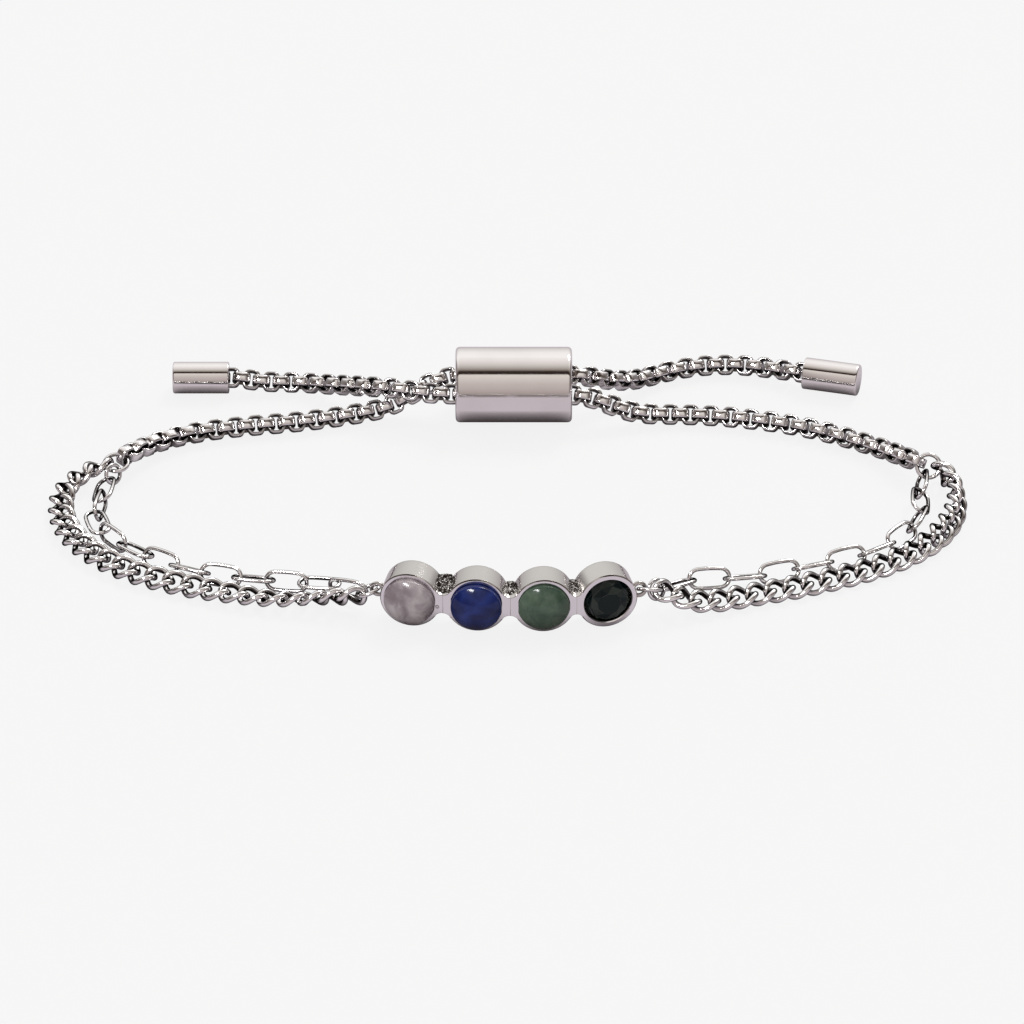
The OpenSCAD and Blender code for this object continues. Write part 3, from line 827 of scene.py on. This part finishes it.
# lumps of solder in the waists: web, share of the depth, height over the web's top, size, seed,
# and for some a shift along the bar
solder = [
    (0, 0.78, 0.3, (0.5, 0.4, 0.34), 17.0, -0.8),
    (0, 0.5, 0.16, (0.36, 0.4, 0.34), 23.0, -0.62),
    (0, 0.3, -0.08, (0.85, 0.6, 0.4), 11.0),
    (0, 0.6, 0.0, (0.85, 0.6, 0.46), 3.0),
    (0, 0.86, 0.12, (0.8, 0.3, 0.5), 5.0),
    (1, 0.4, -0.12, (0.6, 0.65, 0.34), 7.0),
    (1, 0.75, -0.06, (0.55, 0.45, 0.36), 2.0),
    (2, 0.35, -0.14, (0.55, 0.55, 0.3), 9.0),
    (2, 0.7, -0.08, (0.6, 0.55, 0.36), 4.0),
]


def loopPlace(i, side):
    turn, centre = cupFrame(i)
    reach = bar["radius"] + loopRadius - endLoop["sink"]
    return centre + turn[:, 2] * (-bar["depth"] * 0.5) + turn[:, 0] * side * reach


def makeEndLoop(i, side, bank):
    verts, faces, _ = torus(loopRadius, endLoop["wire"], endLoop["around"], endLoop["sides"])
    t = math.radians(bar["cups"][i][0])
    c, s = math.cos(t), math.sin(t)
    yaw = np.array([[c, -s, 0], [s, c, 0], [0, 0, 1.0]])
    b = math.radians(90 + bank)
    tip = np.array([[1, 0, 0], [0, math.cos(b), -math.sin(b)], [0, math.sin(b), math.cos(b)]])
    return turned(verts, yaw @ tip, loopPlace(i, side)), faces


# solder where an end loop meets its cup, and a bead pushed over the first stone's edge
loopSolder = {"size": (0.22, 0.3, 0.34), "inward": 0.5, "seed": 6.0, "castShare": 0.6}
bead = {"radius": 0.12, "wire": 0.11, "at": (2.3, -0.32, 0.02), "castShare": 0.2}
# cast skin on the walls beside each waist: share of each web, reach along and up
castWaist = {"shares": (1.0, 0.45, 0.6), "along": 0.62, "up": 0.8}


def makeSetting():
    parts = [makeCup(i) for i in range(4)] + [makeWeb(i) for i in range(3)]
    parts += [makeEndLoop(*loop) for loop in endLoops]
    rough = [0] * len(parts)
    centres = cupCentres()
    for web, share, lift, size, seed, *along in solder:
        p, q = centres[web], centres[web + 1]
        d = (q - p) / np.linalg.norm(q - p)
        out = np.array([d[1], -d[0]])
        spot = (p + q) / 2 - out * bar["depth"] * share + d * sum(along)
        height = bar["radius"] + bar["webHeight"] / 2 + lift
        parts.append(makeLump((spot[0], spot[1], height), size, seed))
        rough.append(1)
    for i, side, _ in endLoops:
        spot = loopPlace(i, side) - cupFrame(i)[0][:, 0] * side * loopSolder["inward"]
        parts.append(makeLump(spot, loopSolder["size"], loopSolder["seed"] + i, level=3))
        rough.append(loopSolder["castShare"])
    turn, centre = cupFrame(0)
    ringVerts, ringFaces, _ = torus(bead["radius"], bead["wire"], 28, 10)
    parts.append((turned(ringVerts, turn, centre + turn @ np.array(bead["at"])), ringFaces))
    rough.append(bead["castShare"])
    verts, faces = merge(parts)
    share = np.concatenate([np.full(len(v), float(r)) for (v, _), r in zip(parts, rough)])
    for web in range(3):
        p, q = centres[web], centres[web + 1]
        d = (q - p) / np.linalg.norm(q - p)
        side = np.abs((verts[:, :2] - (p + q) / 2) @ d)
        height = verts[:, 2] - bar["radius"] - bar["webHeight"] / 2
        back = -(verts[:, :2] - (p + q) / 2) @ np.array([d[1], -d[0]])
        near = np.clip(1.25 - side / castWaist["along"], 0, 1)
        near = near * np.clip(1.3 - height / castWaist["up"], 0, 1)
        near *= np.clip((back - 0.16) / 0.15, 0, 1) * (height > -0.4)
        share = np.maximum(share, near * castWaist["shares"][web])
    piece = addPiece("stoneBar", verts, faces, metals["setting"], nodes=("setting",))
    addShare(piece, "castShare", share)
    # polished faces stay truly flat between their soft edges
    cups = [(Vector(cupFrame(i)[0][:, 2]), Vector(cupFrame(i)[1]) * mm) for i in range(4)]
    flat = []
    for f in piece.data.polygons:
        way, centre = min(cups, key=lambda cup: (f.center - cup[1]).length)
        lean, depth = f.normal.dot(way), (f.center - centre).dot(way) / mm
        flat.append(depth > -0.1 and (lean > 0.999 or 0.69 < lean < 0.76))
    piece.data.polygons.foreach_set("use_smooth", [not x for x in flat])
    # these flat faces and bevels get a painted lighter reflection tone in the metal
    addShare(piece, "faceShare", flat, "FACE")


makeSetting()
print("stone bar done")

# stones

stones = {
    "grey": {"deep": (0.2, 0.165, 0.185, 1), "cloud": (0.47, 0.43, 0.45, 1),
             "speck": (0.5, 0.45, 0.47, 1), "speckSize": 1200.0, "speckShare": 0.0,
             "size": 620.0, "contrast": 0.2, "grain": 0.2, "gloss": (0.12, 0.2), "glow": 0.25},
    "blue": {"deep": (0.003, 0.008, 0.065, 1), "cloud": (0.013, 0.028, 0.16, 1),
             "speck": (0.05, 0.08, 0.26, 1), "speckSize": 1900.0, "speckShare": 0.0,
             "size": 640.0, "contrast": 0.22, "grain": 0.5, "gloss": (0.12, 0.22)},
    "green": {"deep": (0.035, 0.065, 0.045, 1), "cloud": (0.095, 0.14, 0.1, 1),
              "speck": (0.1, 0.07, 0.05, 1), "speckSize": 1500.0, "speckShare": 0.03,
              "size": 560.0, "contrast": 0.2, "grain": 0.5, "gloss": (0.14, 0.24)},
    "dark": {"deep": (0.0025, 0.006, 0.0055, 1), "cloud": (0.007, 0.014, 0.012, 1),
             "speck": (0.02, 0.03, 0.028, 1), "speckSize": 1500.0, "speckShare": 0.0,
             "size": 500.0, "contrast": 0.25, "grain": 0.2, "gloss": (0.04, 0.07),
             # facets: the dark and the slate tones of the painted facet light
             "facets": ((0.002, 0.0085, 0.01, 1), (0.085, 0.105, 0.095, 1)), "specular": 0.12},
}
cabochon = {"radius": 2.08, "dome": 0.95, "seat": 1.64, "proud": (0.42, 0.47, 0.3), "edge": 0.09}


def makeCabochon(i, name, node, slot):
    c = cabochon
    r, dome = c["radius"], c["dome"]
    girdle = dome * c["proud"][i]
    ball = (r * r + dome * dome) / (2 * dome)
    profile = [(0, -c["seat"]), (r - 0.05, -c["seat"]), (r, -c["seat"] + 0.1),
               (r, girdle - c["edge"])]
    limit = math.asin(r / ball)
    for k in range(4):
        s = k / 4
        profile.append((r - 0.012 * s, girdle - c["edge"] * (1 - s)))
    for k in range(1, 29):
        t = limit * (1 - k / 28)
        width = ball * math.sin(t) if k < 28 else 0
        profile.append((width, girdle + dome - ball + ball * math.cos(t)))
    verts, faces = lathe(profile, 96)
    turn, centre = cupFrame(i)
    material = makeStone(name + "Body", stones[slot])
    addPiece(name, turned(verts, turn, centre), faces, material, nodes=(node,))


makeCabochon(0, "greyStone", "stone_grey", "grey")
makeCabochon(1, "blueStone", "stone_blue", "blue")
makeCabochon(2, "greenStone", "stone_green", "green")

cutStone = {"radius": 1.98, "crown": 0.5, "facets": 10, "deep": 1.64, "start": 8.0, "soft": 0.03}


def makeCutStone():
    c = cutStone
    r, n, deep, crown = c["radius"], c["facets"], c["deep"], c["crown"]
    rows = [(0.36 * r, -deep, 0), (r, -0.32 * deep, 0.5), (r, -0.2 * deep, 0.5),
            (0.8 * r, 0.55 * crown, 0), (0.5 * r, crown, 0.5)]
    bm = bmesh.new()
    rings = []
    for radius, z, lead in rows:
        ring = []
        for k in range(n):
            t = math.radians(360 / n * (k + lead) + c["start"])
            ring.append(bm.verts.new((radius * math.cos(t), radius * math.sin(t), z - 0.05)))
        rings.append(ring)
    bm.faces.new(list(reversed(rings[0])))
    bm.faces.new(rings[-1])
    for j in range(len(rows) - 1):
        lead = rows[j + 1][2] - rows[j][2]
        for k in range(n):
            m = (k + 1) % n
            a, b, p, q = rings[j][k], rings[j][m], rings[j + 1][k], rings[j + 1][m]
            if lead == 0:
                bm.faces.new((a, b, q, p))
            elif lead > 0:
                bm.faces.new((a, b, p))
                bm.faces.new((b, q, p))
            else:
                bm.faces.new((a, q, p))
                bm.faces.new((a, b, q))
    bmesh.ops.recalc_face_normals(bm, faces=bm.faces)
    bmesh.ops.bevel(bm, geom=list(bm.edges), offset=c["soft"], segments=1, affect="EDGES")
    bm.verts.ensure_lookup_table()
    verts = np.array([tuple(v.co) for v in bm.verts])
    faces = [tuple(v.index for v in f.verts) for f in bm.faces]
    # painted light: each facet gets its own lighter or darker tone from the way it faces
    tone = []
    for f in bm.faces:
        way = math.atan2(f.normal.y, f.normal.x)
        tilt = math.hypot(f.normal.x, f.normal.y)
        shade = 0.5 + 0.5 * math.sin(way * 3.1 + 1.1 + tilt * 9)
        tone.append(0.1 if tilt < 0.05 else shade ** 1.2)
    bm.free()
    turn, centre = cupFrame(3)
    material = makeStone("darkStoneBody", stones["dark"])
    piece = addPiece("darkStone", turned(verts, turn, centre), faces, material, smooth=False,
                     nodes=("stone_dark",))
    addShare(piece, "facetTone", tone, "FACE")


makeCutStone()
print("stones done")

# slider and caps

barrel = {"at": (0.45, 13.18, 3.25), "radius": 3.25, "length": 10.0, "edge": 0.42,
          "bore": 1.05, "spacing": 2.4, "lean": 13.5, "mouth": 0.09, "throat": 0.3}
cutterPast = (0.5, 0.6)  # how far a bore's cutter runs out, across and along
alongX = np.array([[0, 0, 1], [0, 1, 0], [-1, 0, 0]], float)  # turns a lathe's axis to X


def makeSlider():
    b = barrel
    h, r = b["length"] / 2, b["radius"]
    profile = rounded([(0, -h), (r, -h), (r, h), (0, h)], (0, b["edge"], b["edge"], 0), 8)
    verts, faces = lathe(profile, 160)
    piece = addPiece("sliderBarrel", turned(verts, alongX, b["at"]), faces, metals["slider"],
                     nodes=("slider",))
    lean = math.radians(b["lean"])
    step = np.array([0, math.cos(lean), math.sin(lean)]) * b["spacing"] / 2
    cutters = []
    bore, mouth, throat = b["bore"], b["mouth"], b["throat"]
    wide, past = cutterPast
    for side in (-1, 1):
        hole = [(0, -h - past), (bore + mouth + wide, -h - past), (bore + mouth, -h),
                (bore + 0.02, -h + mouth), (bore, -h + throat), (bore, h - throat),
                (bore + 0.02, h - mouth), (bore + mouth, h),
                (bore + mouth + wide, h + past), (0, h + past)]
        v, f = lathe(hole, 64)
        mesh = bpy.data.meshes.new("boreCutter")
        spots = turned(v, alongX, np.array(b["at"]) + side * step) * mm
        mesh.from_pydata([tuple(p) for p in spots], [], f)
        cutter = bpy.data.objects.new("boreCutter", mesh)
        bpy.context.collection.objects.link(cutter)
        cutters.append(cutter)
        cut = piece.modifiers.new("bore", "BOOLEAN")
        cut.operation = "DIFFERENCE"
        cut.solver = "EXACT"
        cut.object = cutter
    bpy.context.view_layer.update()
    whole = piece.evaluated_get(bpy.context.evaluated_depsgraph_get())
    done = bpy.data.meshes.new_from_object(whole)
    piece.modifiers.clear()
    old = piece.data
    piece.data = done
    bpy.data.meshes.remove(old)
    for cutter in cutters:
        bpy.data.objects.remove(cutter)
    piece.data.name = "sliderBarrel"
    piece.data.set_sharp_from_angle(angle=math.radians(35))


makeSlider()

caps = {"radius": 1.375, "length": 4.85, "bore": 1.05, "hole": 2.4, "edge": 0.2,
        "left": ((-24.25, 17.5, 1.375), 180.0), "right": ((25.7, 18.3, 1.375), -15.0)}


def makeCap(way):
    c = caps
    at, turn = c[way]
    r, length = c["radius"], c["length"]
    corners = [(0, c["hole"]), (c["bore"], c["hole"]), (c["bore"], 0), (r, 0), (r, length),
               (0, length)]
    profile = rounded(corners, (0, 0.05, 0.06, 0.12, c["edge"], 0), 6)
    verts, faces = lathe(profile[::-1], 112)
    t = math.radians(turn)
    yaw = np.array([[math.cos(t), -math.sin(t), 0], [math.sin(t), math.cos(t), 0], [0, 0, 1.0]])
    addPiece("endCap_" + way, turned(verts, yaw @ alongX, at), faces, metals["slider"],
             nodes=("end_cap_" + way,))


makeCap("left")
makeCap("right")
print("slider and caps done")

# table, world and lights


paper = {
    "tones": ((0.885, 0.9, 0.91, 1), (0.9, 0.915, 0.925, 1)),
    "seen": (0.949, 0.949, 0.951, 1),
    "seenShare": 0.9,
    # in the metal the paper shows a painted reflection, greyer, with painted contact shade right
    # under the pieces
    "paintedReflection": ((0.03, 0.022, 0.022, 1), (0.57, 0.52, 0.555, 1)),
    "paintedContactShade": 0.0026,
    "paintedContactPower": 2.4,
}


def makeTable():
    mesh = bpy.data.meshes.new("table")
    mesh.from_pydata([(-2, -2, 0), (2, -2, 0), (2, 2, 0), (-2, 2, 0)], [], [(0, 1, 2, 3)])
    table = bpy.data.objects.new("table", mesh)
    bpy.context.collection.objects.link(table)
    material, tree, shader = newMaterial("tablePaper")
    path = put(tree, "LightPath")
    spot = put(tree, "TexCoord").outputs["Object"]
    grain = put(tree, "TexNoise", {"Vector": spot, "Scale": 900.0}).outputs[0]
    pale = mixed(tree, grain, *paper["tones"])
    # painted contact shade from ambient occlusion, for the reflection only
    near = put(tree, "AmbientOcclusion", {"Distance": paper["paintedContactShade"]}, samples=6).outputs["AO"]
    contactShade = sums(tree, "POWER", near, paper["paintedContactPower"])
    paintedReflection = mixed(tree, contactShade, *paper["paintedReflection"])
    tree.links.new(pale, shader.inputs["Base Color"])
    shader.inputs["Roughness"].default_value = 0.9
    shader.inputs["Specular IOR Level"].default_value = 0.0
    # glossy rays see the painted reflection in place of the lit paper
    glossy = path.outputs["Is Glossy Ray"]
    plain = put(tree, "Emission", {"Color": mixed(tree, glossy, paper["seen"], paintedReflection)})
    seen = sums(tree, "MULTIPLY", path.outputs["Is Camera Ray"], paper["seenShare"])
    share = sums(tree, "MAXIMUM", glossy, seen)
    both = put(tree, "MixShader", {0: share, 1: shader.outputs[0], 2: plain.outputs[0]})
    tree.links.new(both.outputs[0], tree.nodes["Material Output"].inputs["Surface"])
    mesh.materials.append(material)


studio = {
    # angle over the table in front, going up and over to the back: tone
    "bands": [(0, (0.33, 0.285, 0.27)), (5, (0.4, 0.345, 0.33)), (18, (0.49, 0.435, 0.425)),
              (32, (0.54, 0.485, 0.455)), (43, (0.61, 0.565, 0.535)), (56, (0.7, 0.655, 0.615)),
              (60.5, (0.7, 0.655, 0.615)), (62.5, (0.03, 0.02, 0.016)), (71, (0.03, 0.02, 0.016)),
              (78, (0.33, 0.29, 0.26)), (86, (0.5, 0.47, 0.44)), (95, (0.67, 0.63, 0.6)),
              (110, (0.83, 0.8, 0.78)), (126, (0.95, 0.935, 0.92)), (146, (0.9, 0.89, 0.87)),
              (180, (0.6, 0.58, 0.57))],
    "strength": 1.06,
    # the room is dark to the sides, and from nearer on in the front half: from, to, share
    "sideTone": (0.07, 0.052, 0.045),
    "farSides": (0.62, 0.86, 0.85),
    "nearSides": (0.36, 0.6, 0.5),
    "frontHalf": (0.12, -0.2),
}


def makeWorld():
    world = bpy.data.worlds.new("studio")
    bpy.context.scene.world = world
    world.use_nodes = True
    tree = world.node_tree
    back = tree.nodes["Background"]
    spot = put(tree, "TexCoord").outputs["Generated"]
    xyz = put(tree, "SeparateXYZ", {0: spot})
    turn = sums(tree, "ARCTAN2", xyz.outputs[2], sums(tree, "MULTIPLY", xyz.outputs[1], -1.0))
    share = sums(tree, "DIVIDE", turn, math.pi, clamp=True)
    ramp = put(tree, "ValToRGB", {0: share})
    elements = ramp.color_ramp.elements
    for k, (angle, tone) in enumerate(studio["bands"]):
        e = elements[k] if k < 2 else elements.new(angle / 180)
        e.position = angle / 180
        e.color = (*tone, 1)
    side = sums(tree, "ABSOLUTE", xyz.outputs[0])
    start, end, most = studio["farSides"]
    wide = eased(tree, side, start, end, 0.0, most)
    start, end, most = studio["nearSides"]
    off = eased(tree, side, start, end, 0.0, most)
    ahead = eased(tree, xyz.outputs[1], *studio["frontHalf"])
    dark = sums(tree, "MAXIMUM", wide, sums(tree, "MULTIPLY", off, ahead))
    tree.links.new(mixed(tree, dark, ramp.outputs[0], (*studio["sideTone"], 1)), back.inputs[0])
    back.inputs[1].default_value = studio["strength"]


def makeLight(name, kind, direction, energy, size, color=(1, 1, 1), distance=0.9, onlyOn=()):
    data = bpy.data.lights.new(name, kind)
    data.energy = energy
    data.color = color
    if kind == "AREA":
        data.shape = "RECTANGLE"
        data.size, data.size_y = size
    else:
        data.angle = math.radians(size)
    light = bpy.data.objects.new(name, data)
    bpy.context.collection.objects.link(light)
    az, el = map(math.radians, direction)
    way = Vector((math.sin(az) * math.cos(el), -math.cos(az) * math.cos(el), math.sin(el)))
    light.location = way * distance
    light.rotation_euler = way.to_track_quat("Z", "Y").to_euler()
    if onlyOn:
        lit = bpy.data.collections.new(name + "Lit")
        for piece in bpy.data.objects:
            if piece.name.startswith(onlyOn) or piece.name.endswith(onlyOn):
                lit.objects.link(piece)
        light.light_linking.receiver_collection = lit


makeTable()
makeWorld()
makeLight("keySun", "SUN", (150, 48), 1.0, 20, (1, 0.99, 0.97))
windowLit = ("grey", "blue", "green", "curb", "long", "box", "barRing", "sideRing")
makeLight("window", "AREA", (-38, 50), 4.2, (0.34, 0.1), onlyOn=windowLit)
view = bpy.context.scene.view_settings
view.view_transform = "Standard"
view.look = "None"
print("studio ready")
